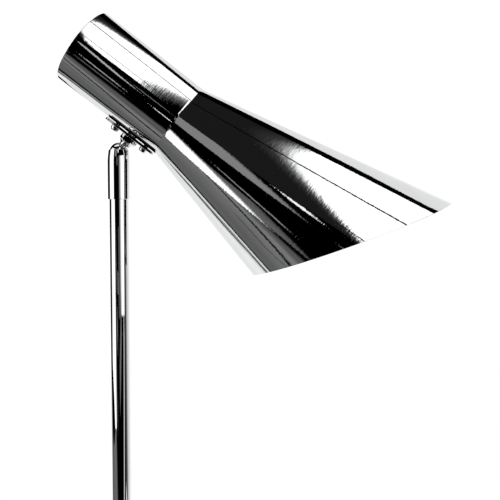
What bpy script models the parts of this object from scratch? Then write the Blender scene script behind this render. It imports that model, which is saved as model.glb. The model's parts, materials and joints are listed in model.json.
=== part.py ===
"""A chrome standing lamp with a trumpet-shaped shade on a ball swivel.

The lamp stands on the plane z = 0 with its pole on the Z axis, and the shade points towards +X.
Everything above the swivel is drawn in the head's own frame: its origin is the centre of the ball,
its Z runs up the stud and its X runs towards the mouth of the shade. HEAD_TILT turns that frame
about Y to the pose in which the lamp is drawn.
"""

import math

import bmesh
import bpy

MM = 0.001
GAP = 0.3 * MM  # between pieces that touch
RUNNING_GAP = 0.1 * MM  # between the ball and what it turns in

# Heights of the whole lamp
BALL_HEIGHT = 1300 * MM
HEAD_TILT = math.radians(38)

# Base
BASE_RADIUS = 130 * MM
BASE_HEIGHT = 22 * MM
BASE_EDGE_RADIUS = 8 * MM
BASE_DOME = 1.7 * MM
SHEET = 1.2 * MM
PAD_RADIUS = 119 * MM
PAD_THICKNESS = 2 * MM
WEIGHT_RADIUS = 122 * MM
WEIGHT_TOP = 18 * MM
POCKET_RADIUS = 17 * MM
POCKET_TOP = 14.5 * MM
CHANNEL_WIDTH = 8 * MM
CHANNEL_TOP = 11 * MM
GROMMET_HEIGHT = 9 * MM
GROMMET_BORE = 3.2 * MM
SKIRT_BOTTOM = 1.2 * MM
WEIGHT_BEVEL = 2 * MM
GROMMET_BODY = 4.4 * MM
GROMMET_FLANGE = 6.2 * MM
GROMMET_INSIDE = 5 * MM
GROMMET_LIP = 2.4 * MM
BASE_WASHER_RADIUS = 11 * MM
BASE_WASHER_THICKNESS = 1.2 * MM
BASE_NUT_ACROSS = 14 * MM
BASE_NUT_HEIGHT = 3 * MM
ROD_ABOVE_BASE = 26 * MM
COLLAR_RADIUS = 16 * MM
COLLAR_HEIGHT = 14 * MM
COLLAR_FLOOR = 5 * MM
COLLAR_FOOT = 1.8 * MM
COLLAR_FLARE = 10.5 * MM
COLLAR_WALL = 1.8 * MM

# Pole
POLE_RADIUS = 7.5 * MM
POLE_WALL = 1.2 * MM
POLE_SECTIONS = 3
POLE_TOP_DROP = 17.5 * MM  # from the centre of the ball down to the top of the tube
SPIGOT_RADIUS = POLE_RADIUS - POLE_WALL - 0.2 * MM
SPIGOT_BORE = 3 * MM
COUPLER_LENGTH = 50 * MM
COUPLER_CHAMFER = 1 * MM
FOOT_BUSH_LENGTH = 24 * MM
TOP_BUSH_SPIGOT = 16 * MM

# Hollow threaded rod, M10 x 1, used in the base and behind the lampholder
ROD_RADIUS = 5 * MM
ROD_BORE = 3.6 * MM

# Lead that runs inside the lamp
LEAD_RADIUS = 1.9 * MM
LEAD_BORE = 2.3 * MM

# Ball swivel: heights count from the centre of the ball
BALL_RADIUS = 7.2 * MM
SLEEVE_RADIUS = 8.6 * MM
SLEEVE_BOTTOM = -35.5 * MM
SLEEVE_BORE = 7.35 * MM
SLEEVE_STEP = -17.3 * MM
LIP_HEIGHT = 1.9 * MM
LIP_RADIUS = 7.8 * MM
LIP_EDGE = 0.25 * MM
SLEEVE_CHAMFER = 0.6 * MM
TAPER_START = -8.5 * MM
TAPER_TO_LIP = 0.7 * MM
SEAT_BOTTOM = -9 * MM
SEAT_TOP = -3.4 * MM
SEAT_BORE = 3.3 * MM
SPRING_RADIUS = 5.2 * MM
SPRING_WIRE = 0.6 * MM
SPRING_TURNS = 2.5
BUSH_HEAD = 2.4 * MM

# Stud and what it clamps: heights up the stud, in the head's frame
NECK_RADIUS = 4 * MM
NECK_STRAIGHT = 7 * MM
NECK_FLARE = 5.6 * MM
NECK_TOP = 9.3 * MM
BALL_MOUTH = 3.6 * MM
BALL_BORE_END = -3 * MM
STUD_TIP = 0.6 * MM
COLLAR_ACROSS = 11.8 * MM
PLATE_BOTTOM = 13.7 * MM
PLATE_THICKNESS = 2 * MM
PLATE_LENGTH = 44.4 * MM
PLATE_WIDTH = 17 * MM
PLATE_CORNER = 3 * MM
STUD_RADIUS = 3.9 * MM
STUD_TOP = 24.2 * MM
STUD_HOLE = 4.3 * MM
STUD_NUT_ACROSS = 12 * MM
STUD_NUT_HEIGHT = 3 * MM
SCREW_OFFSET = 13.2 * MM
SCREW_RADIUS = 2 * MM
SCREW_HOLE = 2.3 * MM
SCREW_TOP = 23.6 * MM
SCREW_HEAD_RADIUS = 3.5 * MM
SCREW_HEAD_HEIGHT = 3.4 * MM
SCREW_NUT_ACROSS = 7 * MM
SCREW_NUT_HEIGHT = 3.2 * MM

# Head: distances along its axis count from the plane of its rear end
AXIS_HEIGHT = 46 * MM
REAR_TO_STUD = 69 * MM
SHADE_RADIUS = 30 * MM
SHADE_WALL = 1 * MM
WAIST = 91.6 * MM
CONE_HALF_ANGLE = math.radians(13.74)
MOUTH = 240.3 * MM  # where the mouth's plane meets the axis
MOUTH_TILT = math.radians(31.9)
VENTS = 8
VENT_RADIUS = 2.2 * MM
VENT_CIRCLE = 19 * MM
CAP_RECESS = 0.6 * MM
CAP_DEPTH = 9 * MM
CAP_BEND = 1.2 * MM
CAP_SHEET = 0.9 * MM

# Bracket and lampholder
BRACKET_BOTTOM = 18 * MM
BRACKET_SHEET = 1.5 * MM
BRACKET_WIDTH = 12 * MM
BRACKET_REAR = -45 * MM
BRACKET_FRONT = 21 * MM
BRACKET_TOP = 54 * MM
HOLDER_REAR = BRACKET_REAR + BRACKET_SHEET + GAP
HOLDER_FRONT = -5 * MM
HOLDER_RADIUS = 14 * MM
HOLDER_REAR_RADIUS = 11 * MM
HOLDER_CAVITY = 7.8 * MM
HOLDER_CAVITY_END = -32.5 * MM
HOLDER_PORT = -35.5 * MM
HOLDER_ROD_HOLE_END = -39 * MM
HOLDER_STEP = -22 * MM
HOLDER_NUT_HEIGHT = 3 * MM
ROD_BEHIND_BRACKET = 7 * MM
CONTACT_RADIUS = 2.6 * MM
CONTACT_THICKNESS = 0.7 * MM
BULB_CAP_RADIUS = 7.1 * MM
BULB_CAP_REAR = -31.2 * MM
GLASS_REAR = HOLDER_FRONT + GAP
GLASS_NECK = 9 * MM
GLOBE_RADIUS = 22.5 * MM
GLOBE_CENTRE = 29 * MM

FINE, MEDIUM, COARSE, NUT = 48, 24, 16, 12  # sides of a turned piece


# Building blocks ---------------------------------------------------------------------------

def arc(centre, radius, start, end, steps):
    """Points of an arc in a profile's (radius, height) plane, angles in degrees from outwards."""
    angles = [math.radians(start + (end - start) * i / steps) for i in range(steps + 1)]
    return [(centre[0] + radius * math.cos(a), centre[1] + radius * math.sin(a)) for a in angles]


def ring(inner, outer, low, high):
    """The profile of a plain ring or, with inner = 0, of a disc."""
    return [(inner, low), (outer, low), (outer, high), (inner, high)]


def lathe(profile, sides):
    """A closed mesh turned about Z from a profile, or from a function of the angle that gives one."""
    bm = bmesh.new()
    columns = []
    hubs = {}
    for step in range(sides):
        angle = 2 * math.pi * step / sides
        points = profile(angle) if callable(profile) else profile
        column = []
        for index, (radius, height) in enumerate(points):
            if radius > 0:
                place = (radius * math.cos(angle), radius * math.sin(angle), height)
                column.append(bm.verts.new(place))
            else:
                if index not in hubs:
                    hubs[index] = bm.verts.new((0, 0, height))
                column.append(hubs[index])
        columns.append(column)
    for here, there in zip(columns, columns[1:] + columns[:1]):
        for low in range(len(here)):
            high = (low + 1) % len(here)
            corners = [here[low], there[low], there[high], here[high]]
            corners = list(dict.fromkeys(corners))
            if len(corners) > 2:
                bm.faces.new(corners)
    return bm


def hexagon(across_flats, hole, low, high):
    """A nut: a hexagon with a round hole."""
    def profile(angle):
        turn = (angle + math.pi / 6) % (math.pi / 3) - math.pi / 6
        flat = across_flats / 2 / math.cos(math.pi / 6 - abs(turn))
        return ring(hole, flat, low, high)
    return lathe(profile, NUT)


def outline_plate(outline, low, high):
    """A flat plate of an outline given anticlockwise in the XY plane."""
    bm = bmesh.new()
    bottom = [bm.verts.new((x, y, low)) for x, y in outline]
    top = [bm.verts.new((x, y, high)) for x, y in outline]
    bm.faces.new(bottom[::-1])
    bm.faces.new(top)
    for i in range(len(outline)):
        j = (i + 1) % len(outline)
        bm.faces.new((bottom[i], bottom[j], top[j], top[i]))
    return bm


def join(bm, other):
    """Adds another mesh's geometry to bm."""
    mesh = bpy.data.meshes.new("joined")
    other.to_mesh(mesh)
    other.free()
    bm.from_mesh(mesh)
    bpy.data.meshes.remove(mesh)


def make_material(name, colour, roughness, metallic):
    material = bpy.data.materials.new(name)
    material.use_nodes = True
    shader = material.node_tree.nodes["Principled BSDF"]
    shader.inputs["Base Color"].default_value = (*colour, 1)
    shader.inputs["Roughness"].default_value = roughness
    shader.inputs["Metallic"].default_value = metallic
    return material


def place(obj, parent, location, rotation):
    bpy.context.scene.collection.objects.link(obj)
    obj.parent = parent
    obj.location = location
    obj.rotation_euler = rotation
    return obj


def add(name, bm, look, parent=None, location=(0, 0, 0), rotation=(0, 0, 0)):
    """One named sub-part from a bmesh, with its own material, shaded smooth between sharp edges."""
    bmesh.ops.recalc_face_normals(bm, faces=bm.faces)
    mesh = bpy.data.meshes.new(name)
    bm.to_mesh(mesh)
    bm.free()
    mesh.shade_smooth()
    mesh.set_sharp_from_angle(angle=math.radians(35))
    mesh.materials.append(make_material(name, *look))
    return place(bpy.data.objects.new(name, mesh), parent, location, rotation)


def add_wire(name, points, radius, look, parent=None, resolution=1):
    """A round wire or lead along a list of points, with closed ends."""
    curve = bpy.data.curves.new(name, "CURVE")
    curve.dimensions = "3D"
    curve.bevel_depth = radius
    curve.bevel_resolution = resolution
    curve.use_fill_caps = True
    spline = curve.splines.new("POLY")
    spline.points.add(len(points) - 1)
    for point, co in zip(spline.points, points):
        point.co = (*co, 1)
    curve.materials.append(make_material(name, *look))
    return place(bpy.data.objects.new(name, curve), parent, (0, 0, 0), (0, 0, 0))


def cut(target, name, bm, parent=None, location=(0, 0, 0), rotation=(0, 0, 0)):
    """Takes a hidden cutter's shape out of a sub-part."""
    cutter = add(name, bm, CUTTER, parent, location, rotation)
    cutter.hide_render = True
    cutter.display_type = "WIRE"
    modifier = target.modifiers.new(name, "BOOLEAN")
    modifier.operation = "DIFFERENCE"
    modifier.solver = "EXACT"
    modifier.object = cutter


def smooth_route(points, steps):
    """Points of a Catmull-Rom curve through the route's own points."""
    padded = [points[0]] + list(points) + [points[-1]]
    route = []
    for a, b, c, d in zip(padded, padded[1:], padded[2:], padded[3:]):
        for step in range(steps):
            t = step / steps
            route.append(tuple(
                0.5 * (2 * q + (r - p) * t + (2 * p - 5 * q + 4 * r - s) * t**2
                       + (3 * q - p - 3 * r + s) * t**3)
                for p, q, r, s in zip(a, b, c, d)))
    return route + [points[-1]]


# Looks: colour, roughness, metallic --------------------------------------------------------

CHROME = ((0.86, 0.87, 0.88), 0.06, 1.0)
STEEL = ((0.62, 0.62, 0.60), 0.32, 1.0)
ZINC = ((0.72, 0.72, 0.70), 0.38, 1.0)
BRASS = ((0.78, 0.60, 0.28), 0.30, 1.0)
IRON = ((0.10, 0.10, 0.10), 0.75, 0.6)
FELT = ((0.04, 0.04, 0.04), 0.95, 0.0)
BLACK_PLASTIC = ((0.03, 0.03, 0.03), 0.45, 0.0)
ACETAL = ((0.85, 0.84, 0.80), 0.40, 0.0)
LEAD_SLEEVE = ((0.80, 0.80, 0.78), 0.55, 0.0)
OPAL = ((0.93, 0.92, 0.88), 0.25, 0.0)
CUTTER = ((0.5, 0.5, 0.5), 0.5, 0.0)


# Base ------------------------------------------------------------------------------------

def base_parts():
    shoulder = BASE_HEIGHT - BASE_DOME
    centre = (BASE_RADIUS - BASE_EDGE_RADIUS, shoulder - BASE_EDGE_RADIUS)
    hole = ROD_RADIUS + GAP

    add("base_pad", lathe(ring(0, PAD_RADIUS, 0, PAD_THICKNESS), FINE), FELT)

    low = PAD_THICKNESS + GAP
    weight = add("base_weight", lathe([
        (hole, POCKET_TOP), (POCKET_RADIUS, POCKET_TOP), (POCKET_RADIUS, low),
        (WEIGHT_RADIUS, low), (WEIGHT_RADIUS, WEIGHT_TOP - WEIGHT_BEVEL),
        (WEIGHT_RADIUS - WEIGHT_BEVEL, WEIGHT_TOP), (hole, WEIGHT_TOP)], FINE), IRON)
    half = CHANNEL_WIDTH / 2
    cut(weight, "lead_channel", outline_plate(
        [(-BASE_RADIUS, -half), (0, -half), (0, half), (-BASE_RADIUS, half)],
        0, CHANNEL_TOP))

    halfway = (BASE_RADIUS / 2, BASE_HEIGHT - BASE_DOME / 4)
    outer = [(BASE_RADIUS, SKIRT_BOTTOM)] + arc(centre, BASE_EDGE_RADIUS, 0, 90, 4)
    outer += [halfway, (hole, BASE_HEIGHT)]
    inner = [(hole, BASE_HEIGHT - SHEET), (halfway[0], halfway[1] - SHEET)]
    inner += arc(centre, BASE_EDGE_RADIUS - SHEET, 90, 0, 2)
    inner += [(BASE_RADIUS - SHEET, SKIRT_BOTTOM)]
    cover = add("base_cover", lathe(outer + inner, FINE), CHROME)
    towards_rear = (0, -math.pi / 2, 0)
    at_skirt = {"location": (-BASE_RADIUS, 0, GROMMET_HEIGHT), "rotation": towards_rear}
    cut(cover, "grommet_hole",
        lathe(ring(0, GROMMET_BODY + GAP, -BASE_EDGE_RADIUS, BASE_EDGE_RADIUS), COARSE), **at_skirt)

    # The grommet's own Z points out of the back of the base, from the skirt's outer face.
    lip_edge = 0.6 * MM
    add("cable_grommet", lathe([
        (GROMMET_BORE, -GROMMET_INSIDE), (GROMMET_BODY, -GROMMET_INSIDE), (GROMMET_BODY, GAP),
        (GROMMET_FLANGE, GAP), (GROMMET_FLANGE, GROMMET_LIP / 2),
        (GROMMET_BODY + lip_edge, GROMMET_LIP), (GROMMET_BORE + lip_edge, GROMMET_LIP),
        (GROMMET_BORE, GROMMET_LIP - lip_edge)], COARSE), BLACK_PLASTIC, **at_skirt)

    washer_high = POCKET_TOP - GAP
    nut_high = washer_high - BASE_WASHER_THICKNESS - GAP
    add("base_washer",
        lathe(ring(hole, BASE_WASHER_RADIUS, washer_high - BASE_WASHER_THICKNESS, washer_high),
              COARSE), ZINC)
    add("base_nut", hexagon(BASE_NUT_ACROSS, hole, nut_high - BASE_NUT_HEIGHT, nut_high), ZINC)
    rod_low = nut_high - BASE_NUT_HEIGHT - 2 * GAP
    add("base_rod",
        lathe(ring(ROD_BORE, ROD_RADIUS, rod_low, BASE_HEIGHT + ROD_ABOVE_BASE), COARSE), ZINC)

    foot = BASE_HEIGHT + GAP
    top = foot + COLLAR_HEIGHT
    socket = POLE_RADIUS + GAP
    rim = socket + COLLAR_WALL
    chamfer = 0.6 * MM
    add("pole_collar", lathe([
        (hole, foot), (COLLAR_RADIUS, foot), (COLLAR_RADIUS, foot + COLLAR_FOOT)]
        + arc((rim + COLLAR_FLARE, top - 2 * chamfer), COLLAR_FLARE, 237, 180, 4)
        + [(rim, top - chamfer), (rim - chamfer, top), (socket, top),
           (socket, foot + COLLAR_FLOOR), (hole, foot + COLLAR_FLOOR)], MEDIUM), CHROME)


# Pole ------------------------------------------------------------------------------------

def pole_parts():
    bottom = BASE_HEIGHT + GAP + COLLAR_FLOOR + GAP
    top = BALL_HEIGHT - POLE_TOP_DROP
    section = (top - bottom) / POLE_SECTIONS
    bore = POLE_RADIUS - POLE_WALL
    names = ("lower_pole", "middle_pole", "upper_pole")
    for index, name in enumerate(names):
        low = bottom + index * section
        high = low + section - (GAP if name != "upper_pole" else 0)
        add(name, lathe(ring(bore, POLE_RADIUS, low, high), MEDIUM), CHROME)

    add("foot_bush",
        lathe(ring(ROD_RADIUS + GAP, SPIGOT_RADIUS, bottom, bottom + FOOT_BUSH_LENGTH), COARSE),
        BRASS)
    for index, name in enumerate(("lower_coupler", "upper_coupler")):
        seam = bottom + (index + 1) * section
        low, high = seam - COUPLER_LENGTH / 2, seam + COUPLER_LENGTH / 2
        add(name, lathe([
            (SPIGOT_BORE, low), (SPIGOT_RADIUS - COUPLER_CHAMFER, low),
            (SPIGOT_RADIUS, low + COUPLER_CHAMFER), (SPIGOT_RADIUS, high - COUPLER_CHAMFER),
            (SPIGOT_RADIUS - COUPLER_CHAMFER, high), (SPIGOT_BORE, high)], COARSE), BRASS)

    # The top bush has a spigot in the tube and a threaded head that the socket sleeve screws on to.
    seat = top + GAP
    head_radius = SLEEVE_BORE - GAP
    add("pole_top_bush", lathe([
        (SPIGOT_BORE, top - TOP_BUSH_SPIGOT), (SPIGOT_RADIUS, top - TOP_BUSH_SPIGOT),
        (SPIGOT_RADIUS, seat), (head_radius, seat), (head_radius, seat + BUSH_HEAD),
        (SPIGOT_BORE, seat + BUSH_HEAD)], COARSE), BRASS)


# Ball swivel -------------------------------------------------------------------------------

def socket_parts(pan_pivot):
    at_ball = (0, 0, BALL_HEIGHT)
    cup = BALL_RADIUS + RUNNING_GAP
    pole_bore = POLE_RADIUS + GAP

    # Outside, from the bottom up: straight, then rolled in over the ball to the lip.
    rise = LIP_HEIGHT - TAPER_TO_LIP - TAPER_START
    taper = [(SLEEVE_RADIUS - (SLEEVE_RADIUS - LIP_RADIUS) * t * t, TAPER_START + rise * t)
             for t in (0, 0.2, 0.4, 0.6, 0.8, 1)]
    lip_angle = math.degrees(math.asin(LIP_HEIGHT / cup))
    outside = [(pole_bore, SLEEVE_BOTTOM), (SLEEVE_RADIUS - SLEEVE_CHAMFER, SLEEVE_BOTTOM),
               (SLEEVE_RADIUS, SLEEVE_BOTTOM + SLEEVE_CHAMFER)] + taper
    outside += [(LIP_RADIUS - LIP_EDGE, LIP_HEIGHT - RUNNING_GAP)]
    inside = arc((0, 0), cup, lip_angle, 4, 4)
    inside += [(SLEEVE_BORE, 0), (SLEEVE_BORE, SLEEVE_STEP), (pole_bore, SLEEVE_STEP)]
    add("socket_sleeve", lathe(outside + inside, MEDIUM), CHROME, location=at_ball)

    edge = math.degrees(math.asin(SEAT_TOP / cup))
    hole_edge = -math.degrees(math.acos(SEAT_BORE / cup))
    seat_radius = SLEEVE_BORE - GAP
    add("ball_seat", lathe(
        [(SEAT_BORE, SEAT_BOTTOM), (seat_radius, SEAT_BOTTOM), (seat_radius, SEAT_TOP)]
        + arc((0, 0), cup, edge, hole_edge, 5), MEDIUM), ACETAL, parent=pan_pivot)

    floor = -POLE_TOP_DROP + GAP + BUSH_HEAD + GAP + SPRING_WIRE
    ceiling = SEAT_BOTTOM - GAP - SPRING_WIRE
    per_turn = 12
    count = round(SPRING_TURNS * per_turn)
    coil = []
    for step in range(count + 1):
        angle = 2 * math.pi * step / per_turn
        rise = floor + (ceiling - floor) * step / count
        coil.append((SPRING_RADIUS * math.cos(angle), SPRING_RADIUS * math.sin(angle),
                     BALL_HEIGHT + rise))
    add_wire("seat_spring", coil, SPRING_WIRE, STEEL)


def stud_parts(tilt_pivot):
    neck_angle = math.degrees(math.acos(NECK_RADIUS / BALL_RADIUS))
    mouth_angle = -math.degrees(math.acos(BALL_MOUTH / BALL_RADIUS))
    add("ball_stud", lathe(
        [(LEAD_BORE, BALL_BORE_END)] + arc((0, 0), BALL_RADIUS, mouth_angle, neck_angle, 11)
        + [(NECK_RADIUS, NECK_STRAIGHT), (NECK_FLARE, NECK_TOP - GAP), (NECK_FLARE, NECK_TOP),
           (STUD_RADIUS, NECK_TOP), (STUD_RADIUS, STUD_TOP - STUD_TIP),
           (STUD_RADIUS - STUD_TIP, STUD_TOP), (LEAD_BORE, STUD_TOP)], MEDIUM),
        CHROME, parent=tilt_pivot)

    add("stud_collar", hexagon(COLLAR_ACROSS, STUD_HOLE, NECK_TOP + GAP, PLATE_BOTTOM - GAP), CHROME,
        parent=tilt_pivot)

    nut_low = BRACKET_BOTTOM + BRACKET_SHEET + GAP
    add("stud_nut", hexagon(STUD_NUT_ACROSS, STUD_HOLE, nut_low, nut_low + STUD_NUT_HEIGHT), ZINC,
        parent=tilt_pivot)


# Head ------------------------------------------------------------------------------------

def on_axis(distance=0.0):
    """Location and rotation of a piece turned about the head's axis: its Z runs to the mouth."""
    return {"location": (distance, 0, AXIS_HEIGHT), "rotation": (0, math.pi / 2, 0)}


def mouth_distance(angle, offset):
    """How far along the axis a line of the cone, moved out by offset, meets the mouth's plane."""
    lean = math.cos(angle) * math.tan(MOUTH_TILT)
    slope = math.tan(CONE_HALF_ANGLE)
    return (MOUTH - lean * (SHADE_RADIUS + offset - WAIST * slope)) / (1 + lean * slope)


def cone_radius(distance, offset):
    return SHADE_RADIUS + offset + (distance - WAIST) * math.tan(CONE_HALF_ANGLE)


def shade_profile(angle):
    """The shade's sheet in section. Angle 0 is its underside, where the mouth is nearest."""
    outer_end = mouth_distance(angle, 0)
    inner_end = mouth_distance(angle, -SHADE_WALL)
    steps = (0.5, 1)
    outside = [(SHADE_RADIUS, 0), (SHADE_RADIUS, WAIST)]
    outside += [(cone_radius(d, 0), d) for d in (WAIST + (outer_end - WAIST) * t for t in steps)]
    inside = [(cone_radius(d, -SHADE_WALL), d)
              for d in (WAIST + (inner_end - WAIST) * t for t in reversed(steps))]
    inside += [(SHADE_RADIUS - SHADE_WALL, WAIST), (SHADE_RADIUS - SHADE_WALL, 0)]
    return outside + inside


def rounded_bar(length, width, corner):
    """The outline of a bar with rounded corners, anticlockwise round the origin."""
    x, y = length / 2 - corner, width / 2 - corner
    corners = ((x, y, 0), (-x, y, 90), (-x, -y, 180), (x, -y, 270))
    return [point for cx, cy, start in corners for point in arc((cx, cy), corner, start, start + 90, 5)]


def shade_parts(spin_pivot):
    shade = add("shade", lathe(shade_profile, FINE), CHROME, parent=spin_pivot,
                **on_axis(-REAR_TO_STUD))
    holes = {"front": (SCREW_OFFSET, SCREW_HOLE), "rear": (-SCREW_OFFSET, SCREW_HOLE),
             "stud": (0, STUD_HOLE)}
    drill_low, drill_high = PLATE_BOTTOM - 5 * MM, BRACKET_BOTTOM + 5 * MM
    plate = add("mounting_plate", outline_plate(
        rounded_bar(PLATE_LENGTH, PLATE_WIDTH, PLATE_CORNER), PLATE_BOTTOM,
        PLATE_BOTTOM + PLATE_THICKNESS), CHROME, parent=spin_pivot)
    bracket = add("holder_bracket", bracket_shape(), ZINC, parent=spin_pivot)
    for name, (along, radius) in holes.items():
        drill = lathe(ring(0, radius, drill_low, drill_high), COARSE)
        for target in (shade, plate, bracket):
            cut(target, f"{target.name}_{name}_hole", drill.copy(), spin_pivot, (along, 0, 0))
        drill.free()
    cut(bracket, "bracket_rod_hole",
        lathe(ring(0, ROD_RADIUS + GAP, -BRACKET_SHEET, 2 * BRACKET_SHEET), COARSE), spin_pivot,
        **on_axis(BRACKET_REAR))

    head_top = PLATE_BOTTOM - GAP
    head_low = head_top - SCREW_HEAD_HEIGHT
    dome = [(SCREW_HEAD_RADIUS * reach, head_low + SCREW_HEAD_HEIGHT * rise)
            for reach, rise in ((0, 0), (0.5, 0.03), (0.85, 0.25), (1, 0.65), (1, 1))]
    nut_low = BRACKET_BOTTOM + BRACKET_SHEET + GAP
    for name, along in (("front", SCREW_OFFSET), ("rear", -SCREW_OFFSET)):
        add(f"plate_screw_{name}", lathe(
            dome + [(SCREW_RADIUS, head_top), (SCREW_RADIUS, SCREW_TOP), (0, SCREW_TOP)], COARSE),
            CHROME, parent=spin_pivot, location=(along, 0, 0))
        add(f"plate_nut_{name}",
            hexagon(SCREW_NUT_ACROSS, SCREW_HOLE, nut_low, nut_low + SCREW_NUT_HEIGHT), ZINC,
            parent=spin_pivot, location=(along, 0, 0))

    # Rear cap: a pressed disc with a flange that is a push fit in the end of the shade.
    rim = SHADE_RADIUS - SHADE_WALL - GAP
    back = CAP_RECESS + CAP_SHEET
    cap = add("rear_cap", lathe(
        [(0, CAP_RECESS)] + arc((rim - CAP_BEND, CAP_RECESS + CAP_BEND), CAP_BEND, 270, 360, 3)
        + [(rim, CAP_DEPTH), (rim - CAP_SHEET, CAP_DEPTH), (rim - CAP_SHEET, back), (0, back)],
        FINE), CHROME, parent=spin_pivot, **on_axis(-REAR_TO_STUD))
    vents = bmesh.new()
    for index in range(VENTS):
        turn = 2 * math.pi * index / VENTS
        hole = lathe(ring(0, VENT_RADIUS, -CAP_SHEET, back + CAP_SHEET), NUT)
        bmesh.ops.translate(hole, verts=hole.verts,
                            vec=(VENT_CIRCLE * math.cos(turn), VENT_CIRCLE * math.sin(turn), 0))
        join(vents, hole)
    cut(cap, "vents", vents, spin_pivot, **on_axis(-REAR_TO_STUD))


def bracket_shape():
    """A strip bent to an L: a foot along the shade's wall and an upright across its axis."""
    side = [(BRACKET_REAR, BRACKET_BOTTOM), (BRACKET_FRONT, BRACKET_BOTTOM),
            (BRACKET_FRONT, BRACKET_BOTTOM + BRACKET_SHEET),
            (BRACKET_REAR + BRACKET_SHEET, BRACKET_BOTTOM + BRACKET_SHEET),
            (BRACKET_REAR + BRACKET_SHEET, BRACKET_TOP), (BRACKET_REAR, BRACKET_TOP)]
    bm = outline_plate(side, -BRACKET_WIDTH / 2, BRACKET_WIDTH / 2)
    for vert in bm.verts:
        x, z, y = vert.co
        vert.co = (x, y, z)
    return bm


def lampholder_parts(spin_pivot):
    rod_rear, rod_front = BRACKET_REAR - ROD_BEHIND_BRACKET, HOLDER_ROD_HOLE_END - GAP
    add("holder_rod", lathe(ring(ROD_BORE, ROD_RADIUS, rod_rear, rod_front), COARSE), ZINC,
        parent=spin_pivot, **on_axis())
    add("holder_nut", hexagon(BASE_NUT_ACROSS, ROD_RADIUS + GAP, -HOLDER_NUT_HEIGHT, 0), ZINC,
        parent=spin_pivot, **on_axis(BRACKET_REAR - GAP))

    rod_hole = ROD_RADIUS + GAP
    chamfer = 1 * MM
    holder = add("lampholder", lathe([
        (rod_hole, HOLDER_REAR), (HOLDER_REAR_RADIUS - chamfer, HOLDER_REAR),
        (HOLDER_REAR_RADIUS, HOLDER_REAR + chamfer), (HOLDER_REAR_RADIUS + chamfer, HOLDER_STEP),
        (HOLDER_RADIUS, HOLDER_STEP + chamfer), (HOLDER_RADIUS, HOLDER_FRONT - chamfer),
        (HOLDER_RADIUS - chamfer, HOLDER_FRONT), (HOLDER_CAVITY + GAP, HOLDER_FRONT),
        (HOLDER_CAVITY, HOLDER_FRONT - chamfer), (HOLDER_CAVITY, HOLDER_CAVITY_END),
        (0, HOLDER_CAVITY_END), (0, HOLDER_ROD_HOLE_END), (rod_hole, HOLDER_ROD_HOLE_END)],
        MEDIUM), BLACK_PLASTIC, parent=spin_pivot, **on_axis())
    port_low, port_high = AXIS_HEIGHT - 2 * HOLDER_RADIUS, AXIS_HEIGHT - ROD_RADIUS - 2 * MM
    cut(holder, "lead_port", lathe(ring(0, LEAD_BORE, port_low, port_high), COARSE), spin_pivot,
        (HOLDER_PORT, 0, 0))

    add("holder_contact", lathe(ring(0, CONTACT_RADIUS, 0, CONTACT_THICKNESS), COARSE), BRASS,
        parent=spin_pivot, **on_axis(HOLDER_CAVITY_END + GAP))
    tip, shell, end = BULB_CAP_REAR, BULB_CAP_REAR + 4.5 * MM, GLASS_REAR - GAP
    add("bulb_cap", lathe([
        (0, tip), (CONTACT_RADIUS - chamfer / 2, tip + GAP), (CONTACT_RADIUS, tip + 1.6 * MM),
        (BULB_CAP_RADIUS - chamfer, shell - chamfer), (BULB_CAP_RADIUS, shell),
        (BULB_CAP_RADIUS, end), (0, end)], COARSE), BRASS, parent=spin_pivot, **on_axis())

    # The globe, with a neck that leaves the cap straight and then swells into it.
    joins = 38  # degrees behind the globe's widest ring
    glass = [(0, GLASS_REAR), (GLASS_NECK - chamfer, GLASS_REAR),
             (GLASS_NECK, GLASS_REAR + chamfer), (GLASS_NECK + 2.6 * MM, GLASS_REAR + 12 * MM)]
    glass += arc((0, GLOBE_CENTRE), GLOBE_RADIUS, -joins, 90, 8)[:-1]
    glass += [(0, GLOBE_CENTRE + GLOBE_RADIUS)]
    add("bulb_glass", lathe(glass, MEDIUM), OPAL, parent=spin_pivot, **on_axis())


# Lead held inside the lamp ---------------------------------------------------------------------

def lead_parts(spin_pivot):
    rest = PAD_THICKNESS + GAP + LEAD_RADIUS + GAP
    from_grommet = [
        (-BASE_RADIUS + 6 * MM, 0, GROMMET_HEIGHT - 0.6 * MM), (-116 * MM, 0, 7.4 * MM),
        (-104 * MM, 0, rest + 1 * MM), (-88 * MM, 0, rest), (-60 * MM, 0, rest),
        (-30 * MM, 0, rest), (-12 * MM, 0, rest), (-6 * MM, 0, 4.9 * MM),
        (-2.6 * MM, 0, 6.6 * MM), (-0.9 * MM, 0, 9.6 * MM), (-0.2 * MM, 0, 13 * MM),
        (0, 0, 18 * MM), (0, 0, 26 * MM)]
    pole_route = smooth_route(from_grommet, 3)
    top = BALL_HEIGHT - BALL_RADIUS - 1 * MM
    runs = 12
    start = pole_route[-1][2]
    pole_route += [(0, 0, start + (top - start) * (i + 1) / runs) for i in range(runs)]
    add_wire("pole_lead", pole_route, LEAD_RADIUS, LEAD_SLEEVE)

    in_head = [(0, 0, -2.6 * MM), (0, 0, 6 * MM), (0, 0, 16 * MM), (0, 0, 23 * MM),
               (-1.6 * MM, 0, 26.6 * MM), (-6 * MM, 0, 28.8 * MM), (-14 * MM, 0, 29.4 * MM),
               (-24 * MM, 0, 29.2 * MM), (-31 * MM, 0, 30 * MM), (-34.6 * MM, 0, 32.8 * MM),
               (HOLDER_PORT, 0, 38.6 * MM)]
    add_wire("head_lead", smooth_route(in_head, 3), LEAD_RADIUS, LEAD_SLEEVE, parent=spin_pivot)


# ------------------------------------------------------------------------------------------

def pivot(name, parent=None, location=(0, 0, 0), rotation=(0, 0, 0)):
    return place(bpy.data.objects.new(name, None), parent, location, rotation)


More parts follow.
